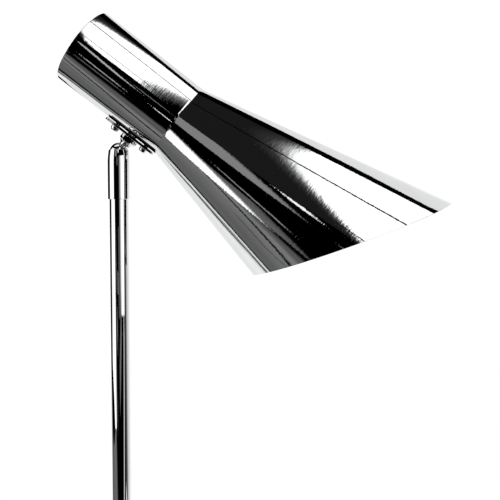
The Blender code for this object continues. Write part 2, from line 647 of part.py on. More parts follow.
def main():
    for obj in list(bpy.data.objects):
        bpy.data.objects.remove(obj)
    pan_pivot = pivot("pan_pivot", location=(0, 0, BALL_HEIGHT))
    tilt_pivot = pivot("tilt_pivot", location=(0, 0, BALL_HEIGHT), rotation=(0, HEAD_TILT, 0))
    spin_pivot = pivot("spin_pivot", parent=tilt_pivot)
    base_parts()
    pole_parts()
    socket_parts(pan_pivot)
    stud_parts(tilt_pivot)
    shade_parts(spin_pivot)
    lampholder_parts(spin_pivot)
    lead_parts(spin_pivot)


main()
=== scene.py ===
"""Looks of a chrome standing lamp with a trumpet-shaped shade on a ball swivel."""

import json
import math

import bmesh
import bpy
from mathutils import Matrix, Vector


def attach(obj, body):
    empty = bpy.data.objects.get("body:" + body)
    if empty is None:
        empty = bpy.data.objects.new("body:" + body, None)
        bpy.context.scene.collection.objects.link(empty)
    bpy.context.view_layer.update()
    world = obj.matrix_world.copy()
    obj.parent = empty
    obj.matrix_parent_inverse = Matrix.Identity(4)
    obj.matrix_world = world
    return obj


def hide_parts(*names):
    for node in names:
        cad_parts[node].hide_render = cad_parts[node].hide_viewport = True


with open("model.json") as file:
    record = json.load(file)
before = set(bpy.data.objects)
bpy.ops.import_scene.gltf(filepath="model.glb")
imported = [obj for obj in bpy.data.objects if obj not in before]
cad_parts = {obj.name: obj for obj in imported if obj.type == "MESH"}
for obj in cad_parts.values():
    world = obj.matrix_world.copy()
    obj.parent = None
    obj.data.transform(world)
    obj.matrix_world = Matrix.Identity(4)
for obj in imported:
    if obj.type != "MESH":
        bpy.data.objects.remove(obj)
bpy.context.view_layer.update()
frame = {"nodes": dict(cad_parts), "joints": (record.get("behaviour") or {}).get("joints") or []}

MM = 0.001
JOINTS = {joint["name"]: joint for joint in frame["joints"]}


# Frames of reference ---------------------------------------------------------------------------
# Shapes are drawn in millimetres in the frame of the piece, which places them in the lamp. The
# stud's frame has its origin at the centre of the ball and its Z up the stud. The shade's has its
# origin in the middle of the shade's rear end and its Z towards the mouth, with -X on top.

def frame_of(origin, x_axis, z_axis):
    y_axis = z_axis.cross(x_axis)
    return Matrix.Translation(origin) @ Matrix((x_axis, y_axis, z_axis)).transposed().to_4x4()


def extent(node, place):
    """Lowest and highest corner of a CAD node in a frame, in millimetres."""
    back = place.inverted()
    points = [back @ vert.co / MM for vert in frame["nodes"][node].data.vertices]
    return [Vector([pick(p[i] for p in points) for i in range(3)]) for pick in (min, max)]


WORLD = Matrix.Identity(4)
BALL = Vector(JOINTS["shade_turn"]["pos_m"])
STUD_AXIS = Vector(JOINTS["shade_turn"]["axis"]).normalized()
STUD = frame_of(BALL, Vector((0, 1, 0)).cross(STUD_AXIS), STUD_AXIS)
UPRIGHT = Matrix.Translation(BALL)
CAP_LOW, CAP_HIGH = extent("rear_cap", STUD)
AXIS_HEIGHT = (CAP_LOW.z + CAP_HIGH.z) / 2
SHADE_REAR = extent("shade", STUD)[0].x


def on_axis(distance=0.0):
    """The frame of a piece turned about the shade's axis, with its origin a distance in front of
    the middle of the ball."""
    return (STUD @ Matrix.Translation(Vector((distance, 0, AXIS_HEIGHT)) * MM)
            @ Matrix.Rotation(math.pi / 2, 4, "Y"))


SHADE = on_axis(SHADE_REAR)


# Camera ------------------------------------------------------------------------------------------

CAMERA_FROM_BALL = Vector((98.6, -605.8, -41.0)) * MM
CAMERA_DOWN = math.radians(3.1)
LENS = 57.6

camera = bpy.data.objects.new("camera", bpy.data.cameras.new("camera"))
bpy.context.scene.collection.objects.link(camera)
camera.location = BALL + CAMERA_FROM_BALL
camera.rotation_euler = (math.pi / 2 - CAMERA_DOWN, 0, 0)
camera.data.lens = LENS
camera.data.clip_start = 10 * MM
bpy.context.scene.camera = camera


# Materials -----------------------------------------------------------------------------------------

class Surface:
    """A Principled material whose nodes are added one by one."""

    def __init__(self, name, roughness, metallic=0.0, **sockets):
        self.material = bpy.data.materials.new(name)
        self.material.use_nodes = True
        self.tree = self.material.node_tree
        self.shader = self.tree.nodes["Principled BSDF"]
        self.set(self.shader, Roughness=roughness, Metallic=metallic)
        for socket, value in sockets.items():
            self.shader.inputs[socket.replace("_", " ")].default_value = value

    def set(self, node, **values):
        for socket, value in values.items():
            self.feed(node, socket, value)

    def feed(self, node, socket, value):
        if isinstance(value, bpy.types.NodeSocket):
            self.tree.links.new(value, node.inputs[socket])
        else:
            node.inputs[socket].default_value = value

    def add(self, kind, **settings):
        node = self.tree.nodes.new(kind)
        for key, value in settings.items():
            setattr(node, key, value)
        return node

    def spot(self, turned=True):
        """Where on the piece this is: in its own lathe frame, or in the row frame at rest."""
        if turned:
            return self.add("ShaderNodeAttribute", attribute_name="spot").outputs["Vector"]
        return self.add("ShaderNodeTexCoord").outputs["Object"]

    def noise(self, spot, per_metre, detail=3.0, roughness=0.55, distortion=0.0):
        """Noise from 0 to 1, with its own number of features per metre along each axis."""
        scaled = self.add("ShaderNodeVectorMath", operation="MULTIPLY")
        self.feed(scaled, 0, spot)
        self.feed(scaled, 1, per_metre)
        node = self.add("ShaderNodeTexNoise")
        self.set(node, Vector=scaled.outputs[0], Scale=1.0, Detail=detail, Roughness=roughness,
                 Distortion=distortion)
        return node.outputs["Fac"]

    def remap(self, value, low, high, to_low, to_high):
        node = self.add("ShaderNodeMapRange", interpolation_type="SMOOTHSTEP")
        for socket, number in zip(("Value", "From Min", "From Max", "To Min", "To Max"),
                                  (value, low, high, to_low, to_high)):
            self.feed(node, socket, number)
        return node.outputs[0]

    def blend(self, factor, first, second):
        """One colour where the factor is 0 and the other where it is 1."""
        node = self.add("ShaderNodeMix", data_type="RGBA")
        self.feed(node, 0, factor)
        self.feed(node, 6, (*first, 1))
        self.feed(node, 7, (*second, 1))
        return node.outputs[2]

    def sum(self, first, second, operation="ADD"):
        node = self.add("ShaderNodeMath", operation=operation)
        self.feed(node, 0, first)
        self.feed(node, 1, second)
        return node.outputs[0]

    def relief(self, height, depth):
        bump = self.add("ShaderNodeBump")
        self.set(bump, Height=height, Distance=depth, Strength=1.0)
        self.set(self.shader, Normal=bump.outputs[0])

    def paint(self, colour=None, roughness=None):
        if colour is not None:
            self.feed(self.shader, "Base Color", colour)
        if roughness is not None:
            self.feed(self.shader, "Roughness", roughness)


def chrome(name, marks, depth, dents=0.0, roughness=(0.018, 0.05)):
    """Polished chrome plate. marks says how fine its polishing lines are along each axis, and
    dents how strong its even unevenness is beside them."""
    look = Surface(name, roughness[0], 1.0)
    spot = look.spot()
    haze = look.noise(spot, (38, 38, 38), detail=5, roughness=0.6)
    wipes = look.noise(spot, (160, 160, 45), detail=4)
    cloud = look.remap(haze, 0.35, 0.75, 0, 1)
    look.paint(look.blend(cloud, (0.83, 0.835, 0.84), (0.79, 0.797, 0.805)),
               look.remap(look.sum(haze, wipes, "MULTIPLY"), 0.12, 0.5, *roughness))
    lines = look.noise(spot, marks, detail=2.5, roughness=0.65)
    if dents:
        grain = look.noise(spot, (300, 300, 300), detail=2)
        lines = look.sum(lines, look.sum(grain, dents, "MULTIPLY"))
    look.relief(lines, depth)
    return look.material


def plated(name, light, dark, roughness, grain=900, depth=4e-6):
    """A dull metal with a mottled tone and a fine even grain."""
    look = Surface(name, roughness[0], 1.0)
    spot = look.spot(turned=False)
    mottle = look.noise(spot, (180,) * 3, detail=5)
    fine = look.noise(spot, (grain,) * 3, detail=3)
    look.paint(look.blend(look.remap(mottle, 0.3, 0.7, 0, 1), light, dark),
               look.remap(mottle, 0.3, 0.7, *roughness))
    look.relief(fine, depth)
    return look.material


def enamel(name, light, dark):
    """Baked enamel: smooth with a faint orange peel, and slightly uneven in tone."""
    look = Surface(name, 0.3, Coat_Weight=0.35, Coat_Roughness=0.12)
    spot = look.spot()
    tone = look.noise(spot, (24, 24, 24), detail=4)
    peel = look.noise(spot, (520, 520, 520), detail=2)
    look.paint(look.blend(look.remap(tone, 0.3, 0.7, 0, 1), light, dark),
               look.remap(peel, 0.3, 0.7, 0.24, 0.38))
    look.relief(peel, 1.2e-5)
    return look.material


def cast_iron():
    look = Surface("cast_iron", 0.8, 0.35)
    spot = look.spot(turned=False)
    sand = look.noise(spot, (700,) * 3, detail=6, roughness=0.7)
    rust = look.remap(look.noise(spot, (60,) * 3, detail=6), 0.56, 0.68, 0, 1)
    look.paint(look.blend(rust, (0.035, 0.036, 0.038), (0.085, 0.045, 0.028)),
               look.remap(sand, 0.3, 0.7, 0.62, 0.9))
    look.relief(sand, 3e-4)
    return look.material


def felt():
    look = Surface("felt", 0.95, Sheen_Weight=0.6, Sheen_Roughness=0.5)
    spot = look.spot(turned=False)
    fibres = look.noise(spot, (2600, 2600, 900), detail=6, roughness=0.75, distortion=1.6)
    tufts = look.noise(spot, (300,) * 3, detail=4)
    look.paint(look.blend(look.sum(fibres, tufts, "MULTIPLY"), (0.012, 0.012, 0.013),
                          (0.11, 0.11, 0.115)), look.remap(tufts, 0.3, 0.7, 0.85, 1.0))
    look.relief(fibres, 2.5e-4)
    return look.material


def moulded(name, colour, highlight, roughness, grain, depth):
    """Moulded plastic or rubber with a spark-eroded grain and slightly worn high spots."""
    look = Surface(name, roughness[0])
    spot = look.spot(turned=False)
    fine = look.noise(spot, (grain,) * 3, detail=3)
    wear = look.remap(look.noise(spot, (110,) * 3, detail=5), 0.5, 0.75, 0, 1)
    look.paint(look.blend(wear, colour, highlight), look.remap(fine, 0.3, 0.7, *roughness))
    look.relief(fine, depth)
    return look.material


def braided_sleeve():
    """A glass-fibre sleeve over the lead, with its braid as crossed diagonal strands."""
    look = Surface("lead_sleeve", 0.6, Sheen_Weight=0.2)
    spot = look.spot(turned=False)
    strands = []
    for turn in (1, -1):
        mixed = look.add("ShaderNodeMapping", vector_type="TEXTURE")
        look.set(mixed, Vector=spot, Rotation=(turn * math.radians(38), turn * math.radians(38), 0))
        wave = look.add("ShaderNodeTexWave", wave_type="BANDS", bands_direction="Z")
        look.set(wave, Vector=mixed.outputs[0], Scale=420.0, Distortion=0.6, Detail=2.0)
        strands.append(wave.outputs["Fac"])
    weave = look.sum(*strands, "MAXIMUM")
    look.paint(look.blend(weave, (0.55, 0.54, 0.50), (0.82, 0.81, 0.77)),
               look.remap(weave, 0.2, 0.9, 0.75, 0.5))
    look.relief(weave, 1.5e-4)
    return look.material


def opal():
    """Blown opal glass: milky, glossy and very slightly uneven."""
    look = Surface("opal_glass", 0.12, Subsurface_Weight=0.35, Subsurface_Scale=0.01,
                   Coat_Weight=0.5, Coat_Roughness=0.04, IOR=1.5)
    spot = look.spot()
    milk = look.noise(spot, (45, 45, 30), detail=4)
    tone = look.blend(look.remap(milk, 0.3, 0.7, 0, 1), (0.93, 0.925, 0.90), (0.87, 0.865, 0.84))
    look.paint(tone, look.remap(milk, 0.3, 0.7, 0.1, 0.17))
    look.relief(look.noise(spot, (90, 90, 90), detail=2), 2e-5)
    return look.material


CHROME_SPUN = chrome("chrome_spun", (22, 22, 820), 9e-6, dents=2.0)
CHROME_DRAWN = chrome("chrome_drawn", (1500, 1500, 12), 4e-7)
CHROME_TURNED = chrome("chrome_turned", (60, 60, 2600), 5e-7)
CHROME_PRESSED = chrome("chrome_pressed", (420, 420, 420), 1.5e-6, roughness=(0.03, 0.09))
ENAMEL = enamel("white_enamel", (0.88, 0.88, 0.86), (0.84, 0.84, 0.82))
ZINC = plated("zinc_plate", (0.74, 0.75, 0.76), (0.58, 0.58, 0.56), (0.22, 0.42))
STEEL = plated("spring_steel", (0.62, 0.62, 0.61), (0.45, 0.44, 0.43), (0.25, 0.4))
BRASS = plated("brass", (0.83, 0.65, 0.33), (0.66, 0.47, 0.20), (0.2, 0.4))
NICKEL = plated("bulb_cap_metal", (0.80, 0.77, 0.70), (0.66, 0.62, 0.54), (0.16, 0.34))
IRON = cast_iron()
FELT = felt()
HOLDER = moulded("holder_plastic", (0.018, 0.018, 0.019), (0.045, 0.045, 0.047), (0.32, 0.5),
                 1800, 2e-5)
RUBBER = moulded("grommet_rubber", (0.02, 0.02, 0.02), (0.05, 0.05, 0.05), (0.55, 0.75), 1400, 4e-5)
ACETAL = moulded("acetal", (0.80, 0.79, 0.75), (0.72, 0.71, 0.66), (0.3, 0.45), 1500, 1e-5)
SLEEVE = braided_sleeve()
OPAL = opal()


# Shapes --------------------------------------------------------------------------------------------

ARC_STEPS = 5
GUARD = 0.3  # a short flat face beside each rounding keeps the long faces' shading flat


def rounded(corners, closed=True):
    """A profile of (radius, height) points from corners given as (radius, height, rounding)."""
    profile = []
    count = len(corners)
    for index, corner in enumerate(corners):
        x, y, size = (*corner, 0)[:3]
        here = Vector((x, y))
        if size <= 0 or (not closed and index in (0, count - 1)):
            profile.append((x, y))
            continue
        before = Vector(corners[index - 1][:2]) - here
        after = Vector(corners[(index + 1) % count][:2]) - here
        half = before.angle(after) / 2
        reach = min(size / math.tan(half), 0.42 * before.length, 0.42 * after.length)
        guard = min(GUARD, 0.1 * before.length, 0.1 * after.length)
        radius = reach * math.tan(half)
        toward = (before.normalized() + after.normalized()).normalized()
        centre = here + toward * (radius / math.sin(half))
        start = here + before.normalized() * reach - centre
        end = here + after.normalized() * reach - centre
        swing = start.angle_signed(end)
        profile.append(tuple(here + before.normalized() * (reach + guard)))
        for step in range(ARC_STEPS + 1):
            profile.append(tuple(centre + Matrix.Rotation(-swing * step / ARC_STEPS, 2) @ start))
        profile.append(tuple(here + after.normalized() * (reach + guard)))
    return profile


def arc(centre, radius, start, end, steps):
    """Points of an arc in a profile's plane, with angles in degrees from outwards."""
    angles = [math.radians(start + (end - start) * i / steps) for i in range(steps + 1)]
    return [(centre[0] + radius * math.cos(a), centre[1] + radius * math.sin(a)) for a in angles]


def lathe(profile, sides):
    """A closed mesh turned about Z from a profile, or from a function of the angle."""
    bm = bmesh.new()
    columns, hubs = [], {}
    for side in range(sides):
        angle = 2 * math.pi * side / sides
        column = []
        points = profile(angle) if callable(profile) else profile
        for index, (radius, height) in enumerate(points):
            if radius > 0:
                point = (radius * math.cos(angle), radius * math.sin(angle), height)
                column.append(bm.verts.new(point))
            else:
                if index not in hubs:
                    hubs[index] = bm.verts.new((0, 0, height))
                column.append(hubs[index])
        columns.append(column)
    for here, there in zip(columns, columns[1:] + columns[:1]):
        for low in range(len(here)):
            high = (low + 1) % len(here)
            corners = list(dict.fromkeys([here[low], there[low], there[high], here[high]]))
            if len(corners) > 2:
                bm.faces.new(corners)
    return bm


def thread(radius, depth, pitch, low, high, angle):
    """A helical thread's profile at an angle, from low to high."""
    steps = max(8, round(abs(high - low) / pitch * 8))
    points = []
    for step in range(steps + 1):
        height = low + (high - low) * step / steps
        phase = height / pitch - angle / (2 * math.pi)
        fade = min(1, 4 * min(step, steps - step) / steps)
        points.append((radius - fade * depth * (0.5 - 0.5 * math.cos(2 * math.pi * phase)), height))
    return points


def plate(outline, low, high):
    """A flat plate of an outline given anticlockwise in the XY plane."""
    bm = bmesh.new()
    bottom = [bm.verts.new((x, y, low)) for x, y in outline]
    top = [bm.verts.new((x, y, high)) for x, y in outline]
    bm.faces.new(bottom[::-1])
    bm.faces.new(top)
    for i in range(len(outline)):
        j = (i + 1) % len(outline)
        bm.faces.new((bottom[i], bottom[j], top[j], top[i]))
    return bm


def moved(bm, place, to=WORLD):
    """A mesh drawn in one frame, as seen from another."""
    matrix = to.inverted() @ place
    matrix.translation /= MM
    bmesh.ops.transform(bm, matrix=matrix, verts=bm.verts)
    return bm


def make(name, bm, place=WORLD, cutters=()):
    """An object from a mesh in a frame of reference. It keeps as the attribute spot where each
    point is in that frame, with the way across a face and along it in one coordinate."""
    pieces = []
    for index, shape in enumerate([bm, *cutters]):
        bmesh.ops.recalc_face_normals(shape, faces=shape.faces)
        mesh = bpy.data.meshes.new(name)
        shape.to_mesh(mesh)
        shape.free()
        pieces.append(bpy.data.objects.new(name if not index else f"{name}_cutter_{index}", mesh))
        bpy.context.scene.collection.objects.link(pieces[-1])
    obj = pieces[0]
    for cutter in pieces[1:]:
        modifier = obj.modifiers.new(cutter.name, "BOOLEAN")
        modifier.object = cutter
        modifier.solver = "EXACT"
    bpy.context.view_layer.update()
    graph = bpy.context.evaluated_depsgraph_get()
    mesh = bpy.data.meshes.new_from_object(obj.evaluated_get(graph), depsgraph=graph)
    obj.modifiers.clear()
    obj.data = mesh
    for cutter in pieces[1:]:
        bpy.data.objects.remove(cutter)
    mesh.transform(Matrix.Scale(MM, 4))
    spots = mesh.attributes.new("spot", "FLOAT_VECTOR", "POINT")
    for vert, spot in zip(mesh.vertices, spots.data):
        spot.vector = (vert.co.x, vert.co.y, vert.co.z + math.sqrt(2) * vert.co.xy.length)
    mesh.transform(place)
    return obj


def bevelled(obj, width, segments=3, angle=30):
    modifier = obj.modifiers.new("edges", "BEVEL")
    modifier.width = width * MM
    modifier.segments = segments
    modifier.limit_method = "ANGLE"
    modifier.angle_limit = math.radians(angle)
    return obj


def fit(obj, material, body, nodes, sharp=35):
    """Gives a piece its material and its body, and hides the CAD nodes it stands for."""
    obj.data.materials.clear()
    obj.data.materials.append(material)
    obj.data.shade_smooth()
    obj.data.set_sharp_from_angle(angle=math.radians(sharp))
    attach(obj, body)
    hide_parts(*nodes)
    return obj


def wire(name, points, radius, place, material, body, nodes):
    """A round wire along a list of points."""
    curve = bpy.data.curves.new(name, "CURVE")
    curve.dimensions = "3D"
    curve.bevel_depth = radius * MM
    curve.bevel_resolution = 4
    curve.use_fill_caps = True
    spline = curve.splines.new("POLY")
    spline.points.add(len(points) - 1)
    for point, co in zip(spline.points, points):
        point.co = (*(place @ (Vector(co) * MM)), 1)
    curve.materials.append(material)
    obj = bpy.data.objects.new(name, curve)
    bpy.context.scene.collection.objects.link(obj)
    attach(obj, body)
    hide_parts(*nodes)
    return obj


def smooth_route(points, steps):
    """Points of a Catmull-Rom curve through the route's own points."""
    padded = [points[0]] + list(points) + [points[-1]]
    route = []
    for a, b, c, d in zip(padded, padded[1:], padded[2:], padded[3:]):
        for step in range(steps):
            t = step / steps
            route.append(tuple(
                0.5 * (2 * q + (r - p) * t + (2 * p - 5 * q + 4 * r - s) * t**2
                       + (3 * q - p - 3 * r + s) * t**3)
                for p, q, r, s in zip(a, b, c, d)))
    return route + [tuple(points[-1])]


def nut(node, place, across_flats, bore, body, material=ZINC):
    """A chamfered hexagon nut in the place of a CAD node."""
    low, high = (corner.z for corner in extent(node, place))
    crown = 0.5 * across_flats + 0.25

    def profile(angle):
        turn = (angle + math.pi / 6) % (math.pi / 3) - math.pi / 6
        side = across_flats / 2 / math.cos(math.pi / 6 - abs(turn))
        drop = max(0.02, 0.5 * (side - crown))
        top = min(side, crown)
        return [(bore + 0.4, low), (top, low), (side, low + drop), (side, high - drop),
                (top, high), (bore + 0.4, high), (bore, high - 0.4), (bore, low + 0.4)]
    piece = make(f"{node}_fine", lathe(profile, 96), place)
    return fit(piece, material, body, [node], sharp=20)


# Base ------------------------------------------------------------------------------------------------

def base():
    _, high = extent("base_pad", WORLD)
    radius, top = high.x, high.z
    fit(make("base_pad_fine", lathe(rounded(
        [(0, 0), (radius, 0, 0.6), (radius, top, 0.6), (0, top)]), 192)),
        FELT, "root", ["base_pad"])

    low, high = extent("base_cover", WORLD)
    radius, top = high.y, high.z
    edge, dome, sheet, hole, grommet_hole = 8.0, 1.7, 1.2, 5.3, 4.7
    shoulder = top - dome
    rise = [(reach, top - dome * (reach / (radius - edge)) ** 2)
            for reach in (radius - edge - 1.5, 110, 98, 86, 74, 62, 50, 38, 26, 16)]
    outside = ([(radius - 0.9 * sheet, low.z + 0.25), (radius - 0.45 * sheet, low.z),
                (radius - 0.1 * sheet, low.z + 0.25), (radius, low.z + 0.7)]
               + arc((radius - edge, shoulder - edge), edge, 0, 88, 18) + rise + [(hole, top)])
    inside = [(hole, top - sheet)] + [(reach, height - sheet) for reach, height in rise[::-1]]
    inside += arc((radius - edge, shoulder - edge), edge - sheet, 88, 0, 8)
    grommet_low, grommet_high = extent("cable_grommet", WORLD)
    height = (grommet_low.z + grommet_high.z) / 2
    seat = frame_of(Vector((grommet_low.x, 0, height)) * MM, Vector((0, 1, 0)), Vector((-1, 0, 0)))
    hole_cutter = moved(lathe([(0, -25), (grommet_hole, -25), (grommet_hole, 5), (0, 5)], 48),
                        seat)
    fit(make("base_cover_fine", lathe(outside + inside, 288), WORLD, [hole_cutter]),
        CHROME_SPUN, "root", ["base_cover"])

    rear = -(grommet_high.x - grommet_low.x)
    fit(make("cable_grommet_fine", lathe(rounded([
        (3.2, rear), (4.4, rear, 0.3), (4.4, -2.1), (6.2, -2.1, 0.3), (6.2, -1.2, 0.5),
        (5, 0, 0.5), (3.8, 0, 0.4), (3.2, -0.6, 0.3)]), 64), seat),
        RUBBER, "root", ["cable_grommet"])

    low, high = extent("pole_collar", WORLD)
    foot, top, radius = low.z, high.z, high.x
    socket = extent("lower_pole", WORLD)[1].x + 0.3
    rim, flare = socket + 1.8, 10.5
    sweep = arc((rim + flare, foot + 2.5 + flare), flare, 237, 180, 14)
    fit(make("pole_collar_fine", lathe(
        rounded([(5.3, foot), (radius, foot, 0.3), (radius, foot + 1.8, 0.7), sweep[0]],
                closed=False) + sweep[1:]
        + rounded([sweep[-1], (rim, top, 0.6), (socket, top, 0.3), (socket, foot + 5)],
                  closed=False)[1:] + [(5.3, foot + 5)], 128)),
        CHROME_TURNED, "root", ["pole_collar"])


# Pole ------------------------------------------------------------------------------------------------

TUBE_WALL = 1.2


def pole():
    for node in ("lower_pole", "middle_pole", "upper_pole"):
        low, high = extent(node, WORLD)
        outer, inner = high.x, high.x - TUBE_WALL
        fit(make(f"{node}_fine", lathe(rounded([
            (inner, low.z), (outer, low.z, 0.25), (outer, high.z, 0.25), (inner, high.z)]), 128)),
            CHROME_DRAWN, "root", [node])


# Ball swivel -----------------------------------------------------------------------------------------

def swivel():
    low, high = extent("socket_sleeve", UPRIGHT)
    outer, lip = high.x, high.z
    bore, pole_bore, step, cup = 7.35, 7.8, -17.3, 7.3
    taper = [(outer - 0.8 * t * t, -8.5 + (lip - 0.7 + 8.5) * t)
             for t in (i / 10 for i in range(11))]
    lip_angle = math.degrees(math.asin(lip / cup))
    outside = (rounded([(pole_bore, low.z), (outer, low.z, 0.6), (outer, -12)], closed=False)
               + taper + rounded([taper[-1], (7.7, lip - 0.05, 0.4),
                                  (cup * math.cos(math.radians(lip_angle)), lip)],
                                 closed=False)[1:])
    inside = arc((0, 0), cup, lip_angle, 4, 10)[1:] + [(bore, 0), (bore, step), (pole_bore, step)]
    fit(make("socket_sleeve_fine", lathe(outside + inside, 160), UPRIGHT),
        CHROME_TURNED, "root", ["socket_sleeve"])

    top = extent("ball_stud", STUD)[1].z
    radius, neck, flare, shoulder, bolt, lead_bore = 7.2, 4.0, 5.6, 9.3, 3.9, 2.3
    ball = arc((0, 0), radius, -60, math.degrees(math.acos(neck / radius)), 40)

    def stud_profile(angle):
        neck_part = rounded([ball[-1], (neck, 7, 0.5), (flare, shoulder - 0.4, 0.3),
                             (flare, shoulder, 0.15), (bolt, shoulder)], closed=False)[1:]
        return ([(lead_bore, -3)] + ball + neck_part
                + thread(bolt, 0.35, 0.75, shoulder + 0.3, top - 0.5, angle)
                + [(bolt - 0.6, top), (lead_bore, top)])
    fit(make("ball_stud_fine", lathe(stud_profile, 128), STUD),
        CHROME_TURNED, "stud", ["ball_stud"])
    nut("stud_collar", STUD, 11.8, 4.3, "stud", CHROME_TURNED)
    nut("stud_nut", STUD, 12, 4.2, "stud")


# Shade -----------------------------------------------------------------------------------------------

SHADE_RADIUS = 30.0
WAIST = 91.6
CONE_HALF_ANGLE = math.radians(13.74)
MOUTH_TILT = math.radians(31.9)
MOUTH = 240.3
SCREW_OFFSET = 13.2
WALL = 1.0
SKIN = 0.68  # how much of the wall's thickness is the chrome shell; the rest is the white lining
HEM = 3.0  # length of the rolled hem round the rear end, which is chrome right through
DRAWN_IN, DRAWN_LENGTH = 0.06, 6.0  # the rear end closes in slightly round the cap
STUD_HOLE, SCREW_HOLE = 4.3, 2.3
DRILL_LOW, DRILL_HIGH = 10, 23  # from under the mounting plate to above the bracket
VENTS, VENT_RADIUS, VENT_RING = 8, 2.2, 19


def mouth_distance(angle, offset):
    """How far along the axis a line of the cone, moved out by offset, meets the mouth's plane."""
    lean = math.cos(angle) * math.tan(MOUTH_TILT)
    slope = math.tan(CONE_HALF_ANGLE)
    return (MOUTH - lean * (SHADE_RADIUS + offset - WAIST * slope)) / (1 + lean * slope)


def shell_profile(angle, outer, inner, rear, inset, bend, lip):
    """The section of a layer of the shade's wall between two offsets from its outside."""
    def cone(distance, offset):
        return SHADE_RADIUS + offset + (distance - WAIST) * math.tan(CONE_HALF_ANGLE)

    def outside_at(distance):
        drawn = DRAWN_IN * max(0, 1 - distance / DRAWN_LENGTH) ** 2
        return SHADE_RADIUS + outer - drawn, distance

    def along_cone(end, offset, shares):
        return [(cone(d, offset), d) for d in (WAIST + (end - WAIST) * share for share in shares)]
    outer_end = mouth_distance(angle, outer) - inset
    inner_end = mouth_distance(angle, inner) - inset
    bracket = (-SHADE_REAR - 24, -SHADE_REAR + 20)
    outside = [(*outside_at(rear), lip)]
    outside += [outside_at(rear + distance) for distance in (2, 4, 6, 9)]
    outside += [(SHADE_RADIUS + outer, distance) for distance in bracket]
    outside += [(SHADE_RADIUS + outer, WAIST, bend)]
    outside += along_cone(outer_end, outer, (0.3, 0.6, 0.9))
    outside += [(cone(outer_end, outer), outer_end, lip)]
    inside = [(cone(inner_end, inner), inner_end, lip)]
    inside += along_cone(inner_end, inner, (0.9, 0.6, 0.3))
    inside += [(SHADE_RADIUS + inner, WAIST, bend)]
    inside += [(SHADE_RADIUS + inner, distance) for distance in bracket[::-1]]
    if rear:
        inside += [(SHADE_RADIUS + inner, rear)]
    else:
        inside += [(SHADE_RADIUS + inner, HEM), (SHADE_RADIUS - WALL, HEM),
                   (SHADE_RADIUS - WALL, 0, lip)]
    return rounded(outside + inside)


def drills(place):
    """Cutters for the stud's hole and the two screws' holes, in a piece's own frame."""
    shapes = []
    for along, radius in ((0, STUD_HOLE), (SCREW_OFFSET, SCREW_HOLE), (-SCREW_OFFSET, SCREW_HOLE)):
        shape = lathe([(0, DRILL_LOW), (radius, DRILL_LOW), (radius, DRILL_HIGH), (0, DRILL_HIGH)], 64)
        bmesh.ops.translate(shape, verts=shape.verts, vec=(along, 0, 0))
        shapes.append(moved(shape, STUD, place))
    return shapes


def shade():
    fit(make("shade_shell", lathe(lambda a: shell_profile(a, 0, -SKIN, 0, 0, 9, 0.32), 384), SHADE,
             drills(SHADE)), CHROME_SPUN, "head", ["shade"])
    fit(make("shade_lining", lathe(
        lambda a: shell_profile(a, -SKIN - 0.02, -WALL, HEM + 0.05, 0.3, 9, 0), 192),
        SHADE, drills(SHADE)), ENAMEL, "head", ["shade"])

    low, high = extent("rear_cap", SHADE)
    rim, face, back = high.x, low.z, high.z
    vents = []
    for index in range(VENTS):
        turn = 2 * math.pi * index / VENTS
        vent = lathe([(0, -3), (VENT_RADIUS, -3), (VENT_RADIUS, 5), (0, 5)], 40)
        bmesh.ops.translate(vent, verts=vent.verts,
                            vec=(VENT_RING * math.cos(turn), VENT_RING * math.sin(turn), 0))
        vents.append(vent)
    cap = make("rear_cap_fine", lathe(rounded([
        (0, face + 0.25), (13, face + 0.2, 30), (25.2, face + 0.2, 2), (rim, face, 1.0),
        (rim, back, 0.3), (rim - 0.9, back, 0.3), (rim - 0.9, face + 1.1, 0.8), (0, face + 1.15)]),
        192), SHADE, vents)
    fit(cap, CHROME_TURNED, "head", ["rear_cap"])

    low, high = extent("mounting_plate", STUD)
    corner = 3
    x, y = high.x - corner, high.y - corner
    outline = []
    for cx, cy, start in ((x, y, 0), (-x, y, 90), (-x, -y, 180), (x, -y, 270)):
        outline += arc((cx, cy), corner, start, start + 90, 14)
    bar = make("mounting_plate_fine", plate(outline, low.z, high.z), STUD, drills(STUD))
    fit(bevelled(bar, 0.12, 2), CHROME_PRESSED, "head", ["mounting_plate"], sharp=15)

    for side, node in ((1, "plate_screw_front"), (-1, "plate_screw_rear")):
        low, high = extent(node, STUD)
        head_top = extent("mounting_plate", STUD)[0].z - 0.3
        place = STUD @ Matrix.Translation((side * SCREW_OFFSET * MM, 0, 0))
        dome = [(0, low.z), (1.2, low.z + 0.05), (2.2, low.z + 0.3), (2.9, low.z + 0.8),
                (3.3, low.z + 1.45), (3.47, low.z + 2.1), (3.5, head_top - 0.15),
                (3.35, head_top), (2, head_top)]
        shape = lathe(lambda a: dome + thread(2, 0.3, 0.7, head_top + 0.05, high.z - 0.4, a)
                      + [(1.6, high.z), (0, high.z)], 64)
        recess = []
        for turn in (0, math.pi / 2):
            blade = plate([(-1.7, -0.36), (1.7, -0.36), (1.7, 0.36), (-1.7, 0.36)],
                          low.z - 1, low.z + 1.3)
            for vert in blade.verts:
                if vert.co.z > low.z:
                    vert.co.x *= 0.35
            bmesh.ops.rotate(blade, verts=blade.verts, cent=(0, 0, 0),
                             matrix=Matrix.Rotation(turn + 0.5 * side, 3, "Z"))
            recess.append(blade)
        fit(make(f"{node}_fine", shape, place, recess), CHROME_TURNED, "head", [node])
        nut(f"plate_nut_{node.rsplit('_', 1)[1]}", place, 7, 2.15, "head")


# Lampholder and bulb ---------------------------------------------------------------------------------

